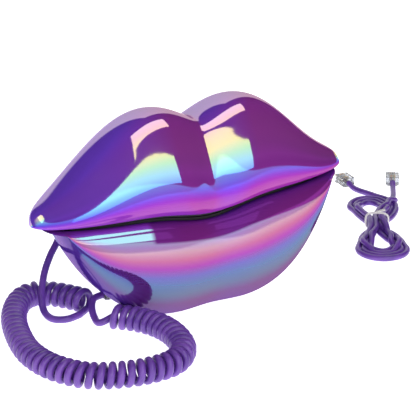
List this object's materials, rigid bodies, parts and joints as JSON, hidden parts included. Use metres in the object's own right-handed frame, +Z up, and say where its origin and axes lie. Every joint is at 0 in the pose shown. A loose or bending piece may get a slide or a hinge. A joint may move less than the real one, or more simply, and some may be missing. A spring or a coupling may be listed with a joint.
{
  "type": "novelty shaped telephone",
  "caption": "Corded telephone shaped like a pair of glossy lips: the upper lip lifts off as the handset, the lower lip is the base, with a curly cord and a coiled line cord.",
  "frame": {"origin": "centre of the phone's box on the table it stands on, with the loose cords left out", "axes": "+Z up, front of the mouth towards -Y, +X along the mouth towards the end without the handset cord"},
  "size_m": [0.3688, 0.2103, 0.1271],
  "materials": {
    "plated_shell": "mirror-gloss iridescent purple plating on ABS",
    "black_plastic": "satin black ABS",
    "black_rubber": "matt black rubber",
    "receiver_case": "matt dark grey",
    "steel": "zinc-plated steel",
    "membrane": "pale silicone",
    "circuit_board": "green solder mask on glass epoxy",
    "white_keys": "off-white moulded keys with plain digits",
    "purple_keys": "satin purple moulded keys",
    "white_plastic": "natural white plastic",
    "brass": "bright brass",
    "transformer_tape": "yellow winding tape",
    "clear_plug": "clear polycarbonate",
    "cord_pvc": "satin purple PVC jacket"
  },
  "bodies": {
    "base": {"base_shell": "plated_shell", "base_seam_strip": "black_rubber", "base_top_plate": "black_plastic", "base_bottom_plate": "black_plastic", "base_rear_panel": "black_plastic", "main_board": "circuit_board", "board_standoffs": "brass", "line_transformer": "transformer_tape", "hook_switch": "black_plastic", "ringer": "brass", "base_weight": "steel", "base_feet": "black_rubber", "base_screws": "steel", "line_jack": "black_plastic", "base_cord_jack": "black_plastic", "base_cord_plug": "clear_plug", "slide_switches": "steel", "handset_cord_coil": "cord_pvc", "base_cord_tail": "cord_pvc", "line_cord_hank": "cord_pvc", "line_cord_tail_a": "cord_pvc", "line_cord_tail_b": "cord_pvc", "line_plug_a": "clear_plug", "line_plug_b": "clear_plug", "line_plug_contacts": "brass", "twist_tie": "white_plastic"},
    "handset": {"handset_shell": "plated_shell", "handset_seam_strip": "black_rubber", "handset_under_cover": "black_plastic", "earpiece": "receiver_case", "earpiece_gasket": "black_rubber", "microphone": "steel", "microphone_boot": "black_rubber", "keypad_membrane": "membrane", "keypad_board": "circuit_board", "dialler_chip": "black_plastic", "handset_weight": "steel", "handset_jack": "black_plastic", "handset_plug": "clear_plug", "handset_screws": "steel", "handset_cord_tail": "cord_pvc"},
    "hook": {"hook_plunger": "white_plastic", "hook_spring": "steel"},
    "ringer_knob": {"ringer_switch_knob": "white_plastic"},
    "dial_knob": {"dial_mode_knob": "white_plastic"},
    "key_1": {"key_1": "white_keys"},
    "key_2": {"key_2": "white_keys"},
    "key_3": {"key_3": "white_keys"},
    "key_4": {"key_4": "white_keys"},
    "key_5": {"key_5": "white_keys"},
    "key_6": {"key_6": "white_keys"},
    "key_7": {"key_7": "white_keys"},
    "key_8": {"key_8": "white_keys"},
    "key_9": {"key_9": "white_keys"},
    "key_star": {"key_star": "white_keys"},
    "key_0": {"key_0": "white_keys"},
    "key_hash": {"key_hash": "white_keys"},
    "key_redial": {"key_redial": "purple_keys"},
    "key_flash": {"key_flash": "purple_keys"},
    "key_mute": {"key_mute": "purple_keys"}
  },
  "joints": [
    {"name": "handset_lift", "type": "slide", "parent": "base", "child": "handset", "axis": [0, 0, 1], "range_m": [0, 0.12], "deforming": ["handset_cord_tail"]},
    {"name": "hook_rise", "type": "slide", "parent": "base", "child": "hook", "axis": [0, 0, 1], "range_m": [0, 0.004], "deforming": ["hook_spring"]},
    {"name": "ringer_slide", "type": "slide", "parent": "base", "child": "ringer_knob", "axis": [1, 0, 0], "range_m": [0, 0.004]},
    {"name": "dial_mode_slide", "type": "slide", "parent": "base", "child": "dial_knob", "axis": [1, 0, 0], "range_m": [0, 0.004]},
    {"name": "key_1_press", "type": "slide", "parent": "handset", "child": "key_1", "axis": [0, 0, 1], "range_m": [0, 0.0012], "stiffness_N_per_m": 600},
    {"name": "key_2_press", "type": "slide", "parent": "handset", "child": "key_2", "axis": [0, 0, 1], "range_m": [0, 0.0012], "stiffness_N_per_m": 600},
    {"name": "key_3_press", "type": "slide", "parent": "handset", "child": "key_3", "axis": [0, 0, 1], "range_m": [0, 0.0012], "stiffness_N_per_m": 600},
    {"name": "key_4_press", "type": "slide", "parent": "handset", "child": "key_4", "axis": [0, 0, 1], "range_m": [0, 0.0012], "stiffness_N_per_m": 600},
    {"name": "key_5_press", "type": "slide", "parent": "handset", "child": "key_5", "axis": [0, 0, 1], "range_m": [0, 0.0012], "stiffness_N_per_m": 600},
    {"name": "key_6_press", "type": "slide", "parent": "handset", "child": "key_6", "axis": [0, 0, 1], "range_m": [0, 0.0012], "stiffness_N_per_m": 600},
    {"name": "key_7_press", "type": "slide", "parent": "handset", "child": "key_7", "axis": [0, 0, 1], "range_m": [0, 0.0012], "stiffness_N_per_m": 600},
    {"name": "key_8_press", "type": "slide", "parent": "handset", "child": "key_8", "axis": [0, 0, 1], "range_m": [0, 0.0012], "stiffness_N_per_m": 600},
    {"name": "key_9_press", "type": "slide", "parent": "handset", "child": "key_9", "axis": [0, 0, 1], "range_m": [0, 0.0012], "stiffness_N_per_m": 600},
    {"name": "key_star_press", "type": "slide", "parent": "handset", "child": "key_star", "axis": [0, 0, 1], "range_m": [0, 0.0012], "stiffness_N_per_m": 600},
    {"name": "key_0_press", "type": "slide", "parent": "handset", "child": "key_0", "axis": [0, 0, 1], "range_m": [0, 0.0012], "stiffness_N_per_m": 600},
    {"name": "key_hash_press", "type": "slide", "parent": "handset", "child": "key_hash", "axis": [0, 0, 1], "range_m": [0, 0.0012], "stiffness_N_per_m": 600},
    {"name": "key_redial_press", "type": "slide", "parent": "handset", "child": "key_redial", "axis": [0, 0, 1], "range_m": [0, 0.0012], "stiffness_N_per_m": 600},
    {"name": "key_flash_press", "type": "slide", "parent": "handset", "child": "key_flash", "axis": [0, 0, 1], "range_m": [0, 0.0012], "stiffness_N_per_m": 600},
    {"name": "key_mute_press", "type": "slide", "parent": "handset", "child": "key_mute", "axis": [0, 0, 1], "range_m": [0, 0.0012], "stiffness_N_per_m": 600}
  ],
  "couplings": [
    {"joint": "hook_rise", "follows": "handset_lift", "ratio": 0.033333}
  ]
}
